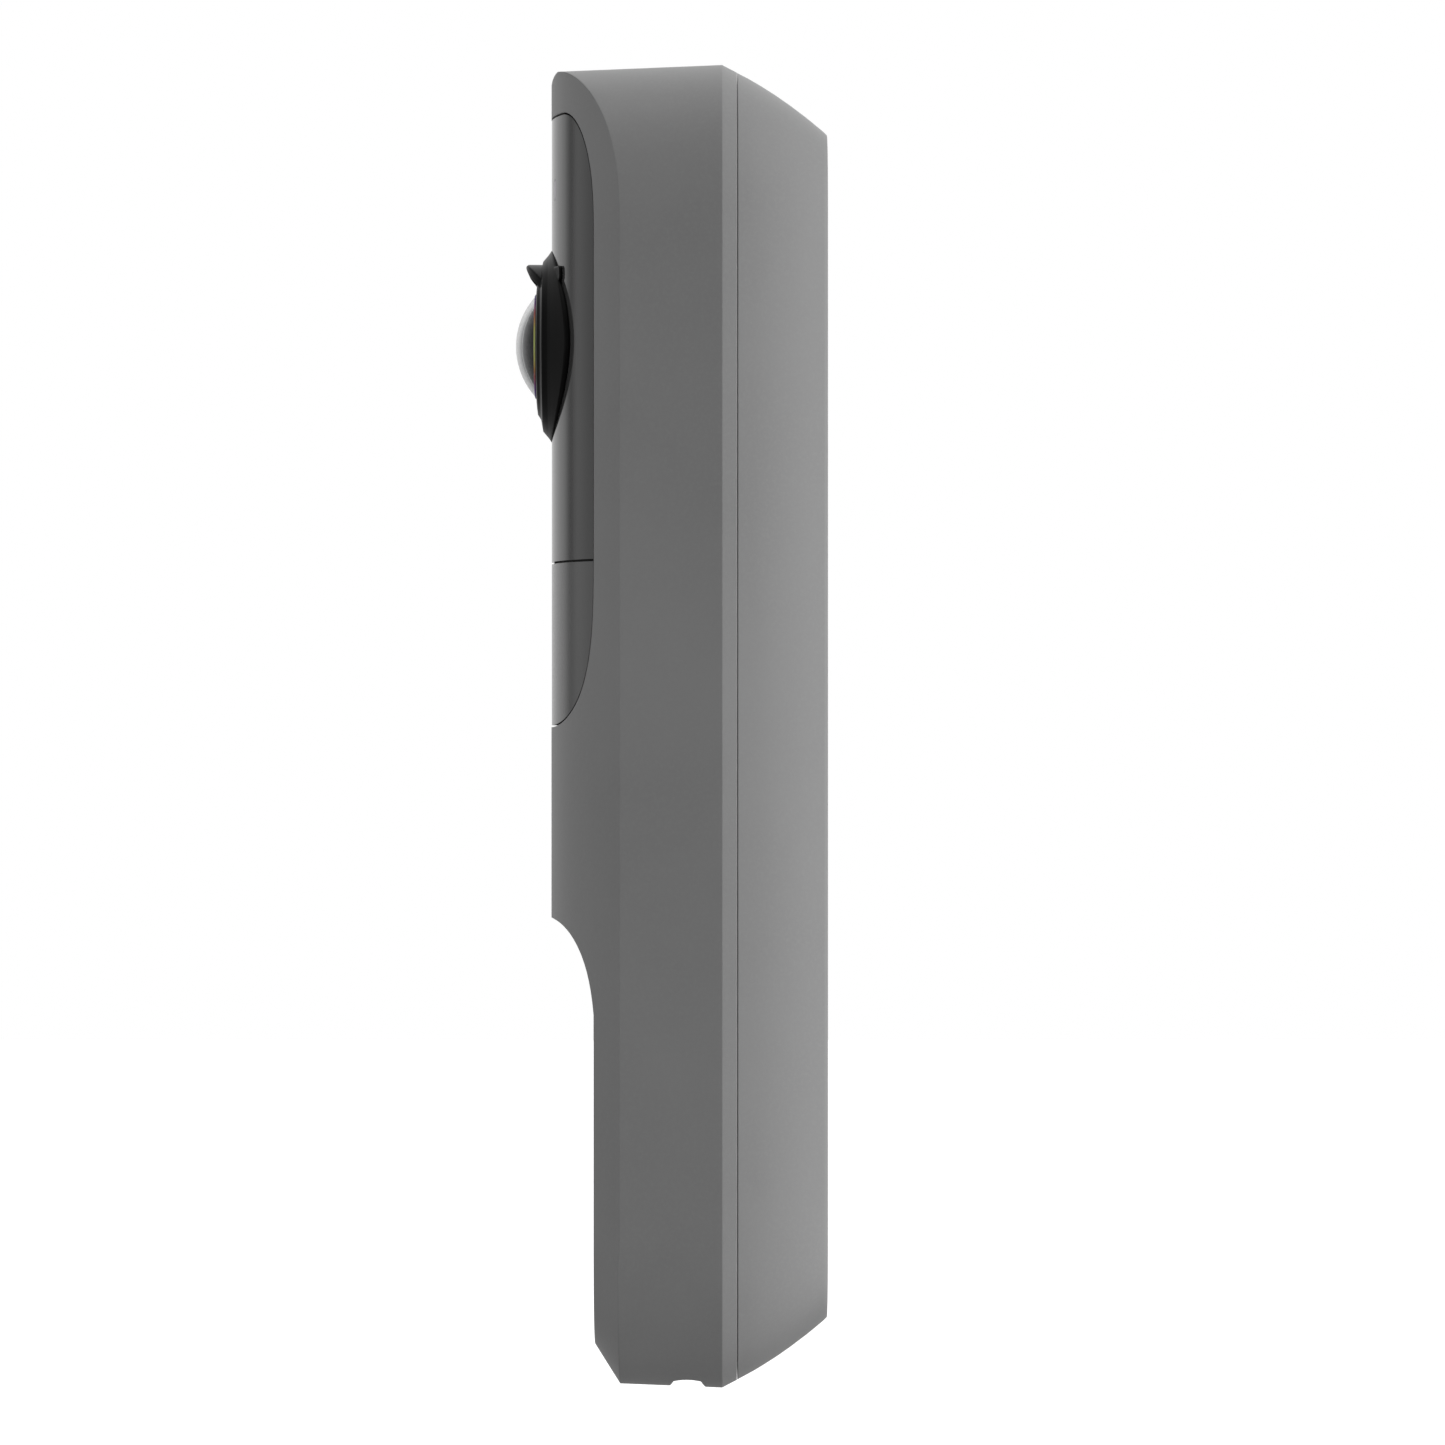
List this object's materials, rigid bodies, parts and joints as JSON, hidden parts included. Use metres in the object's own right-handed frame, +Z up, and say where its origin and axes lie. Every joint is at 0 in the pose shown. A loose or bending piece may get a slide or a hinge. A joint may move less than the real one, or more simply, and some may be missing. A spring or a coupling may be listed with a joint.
{
  "type": "video doorbell",
  "caption": "Slim wall-mounted video doorbell with domed camera under a brow, dark front panel, round lit call button and tapered wall base",
  "frame": {"origin": "centre of the flat rear face that lies on the wall", "axes": "+Z up along the length, -Y out of the wall towards the visitor, X across"},
  "size_m": [0.048, 0.0341, 0.144],
  "materials": {
    "housing_grey": "fine matt grey moulding",
    "base_grey": "fine matt grey moulding, as the housing",
    "panel_gloss": "dark gloss, infrared passing",
    "panel_satin": "dark satin gloss",
    "bezel_black": "matt black",
    "dome_glass": "clear coated glass",
    "ring_metal": "bright turned edge",
    "lens_glass": "coated dark glass",
    "inner_black": "matt black inner moulding",
    "filter_glass": "tinted filter glass",
    "sensor_die": "sensor with glass lid",
    "pcb_green": "solder mask",
    "led_clear": "tinted LED resin",
    "chip_black": "component body",
    "light_guide": "translucent light guide",
    "film_white": "translucent white film",
    "can_steel": "tin-plated steel",
    "screw_steel": "zinc-plated steel",
    "cell_wrap": "printed-free shrink wrap",
    "foam_grey": "closed-cell foam",
    "rubber_black": "soft rubber",
    "button_face": "fine matt grey cap",
    "cone_paper": "coated cone",
    "mesh_steel": "dark woven mesh",
    "cover_grey": "dark grey moulding",
    "brass": "plated brass",
    "antenna_copper": "copper on film"
  },
  "bodies": {
    "wall_base": {"wall_base": "base_grey", "wall_gasket": "foam_grey", "seam_seal": "rubber_black", "cable_grommet": "rubber_black"},
    "lock_screw": {"lock_screw": "screw_steel"},
    "front_unit": {"front_housing": "housing_grey", "camera_panel": "panel_gloss", "sensor_panel": "panel_satin", "lens_bezel": "bezel_black", "lens_dome": "dome_glass", "lens_ring": "ring_metal", "front_lens": "lens_glass", "lens_barrel": "inner_black", "rear_lens": "lens_glass", "filter_frame": "inner_black", "image_sensor": "sensor_die", "camera_board": "pcb_green", "front_board": "pcb_green", "ir_leds": "led_clear", "microphone": "can_steel", "mic_boot": "rubber_black", "light_sensor": "chip_black", "light_pipe": "led_clear", "motion_film": "film_white", "motion_sensor": "can_steel", "motion_holder": "inner_black", "main_board": "pcb_green", "board_screws": "screw_steel", "board_shields": "can_steel", "antenna": "antenna_copper", "backup_cell": "cell_wrap", "cell_pad": "foam_grey", "usb_socket": "can_steel", "reset_switch": "chip_black", "tamper_switch": "chip_black", "light_ring": "light_guide", "button_board": "pcb_green", "button_switch": "chip_black", "ring_leds": "led_clear", "button_screws": "screw_steel", "speaker_mesh": "mesh_steel", "speaker_seal": "foam_grey", "speaker_frame": "inner_black", "speaker_cone": "cone_paper", "speaker_magnet": "can_steel", "back_cover": "cover_grey", "cover_seal": "rubber_black", "cover_screws": "screw_steel", "terminal_block": "chip_black", "terminal_plates": "brass"},
    "call_button": {"call_button": "button_face"},
    "ir_cut_filter": {"ir_cut_filter": "filter_glass"},
    "reset_button": {"reset_button": "cover_grey"},
    "tamper_plunger": {"tamper_plunger": "cover_grey"},
    "terminal_screw_l": {"terminal_screw_l": "screw_steel"},
    "terminal_screw_r": {"terminal_screw_r": "screw_steel"}
  },
  "joints": [
    {"name": "front_unit_pull", "type": "slide", "parent": "wall_base", "child": "front_unit", "axis": [0, -1, 0], "range_m": [0, 0.025]},
    {"name": "lock_screw_drive", "type": "slide", "parent": "wall_base", "child": "lock_screw", "axis": [0, 0, 1], "range_m": [0, 0.002]},
    {"name": "call_button_press", "type": "slide", "parent": "front_unit", "child": "call_button", "axis": [0, 1, 0], "range_m": [0, 0.0006], "stiffness_N_per_m": 900},
    {"name": "ir_filter_shift", "type": "slide", "parent": "front_unit", "child": "ir_cut_filter", "axis": [1, 0, 0], "range_m": [0, 0.0058]},
    {"name": "reset_button_press", "type": "slide", "parent": "front_unit", "child": "reset_button", "axis": [0, -1, 0], "range_m": [0, 0.0003], "stiffness_N_per_m": 300},
    {"name": "tamper_plunger_press", "type": "slide", "parent": "front_unit", "child": "tamper_plunger", "axis": [0, -1, 0], "range_m": [0, 0.0003], "stiffness_N_per_m": 300},
    {"name": "terminal_screw_l_turn", "type": "hinge", "parent": "front_unit", "child": "terminal_screw_l", "pos_m": [-0.0053, -0.006, -0.029], "axis": [0, 1, 0], "range_deg": [0, 720]},
    {"name": "terminal_screw_r_turn", "type": "hinge", "parent": "front_unit", "child": "terminal_screw_r", "pos_m": [0.0053, -0.006, -0.029], "axis": [0, 1, 0], "range_deg": [0, 720]}
  ]
}
